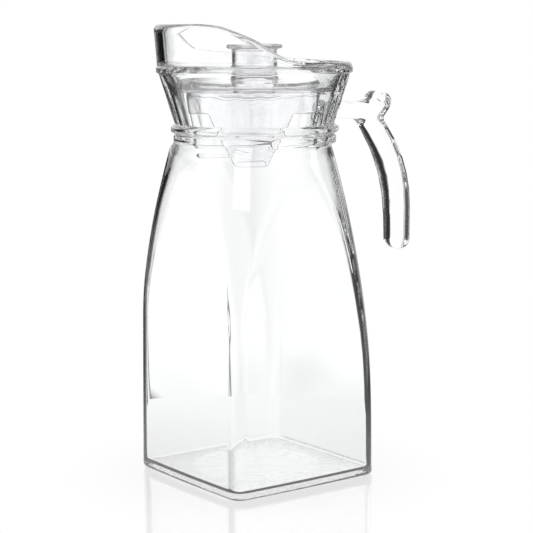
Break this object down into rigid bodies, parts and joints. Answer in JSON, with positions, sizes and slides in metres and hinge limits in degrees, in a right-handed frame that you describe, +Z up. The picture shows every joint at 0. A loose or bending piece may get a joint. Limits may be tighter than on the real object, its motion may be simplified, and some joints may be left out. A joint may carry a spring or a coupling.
{
  "type": "glass jug with lid",
  "caption": "Clear glass fridge jug with a square body, round fluted collar, wavy pouring lip, open handle and a lift-off clear plastic lid with a hollow knob.",
  "frame": {"origin": "middle of the flat foot, on the mouth's axis, where the jug stands", "axes": "+Z up from the foot, +X towards the handle, -X towards the pouring lip"},
  "size_m": [0.1562, 0.1134, 0.2563],
  "materials": {
    "glass": "clear polished soda-lime glass",
    "clear_plastic": "crystal-clear moulded plastic, glossy"
  },
  "bodies": {
    "jug": {"jug_body": "glass", "handle": "glass"},
    "lid": {"lid": "clear_plastic", "lid_knob": "clear_plastic"}
  },
  "joints": [
    {"name": "lid_lift", "type": "slide", "parent": "jug", "child": "lid", "axis": [0, 0, 1], "range_m": [0, 0.12]}
  ]
}
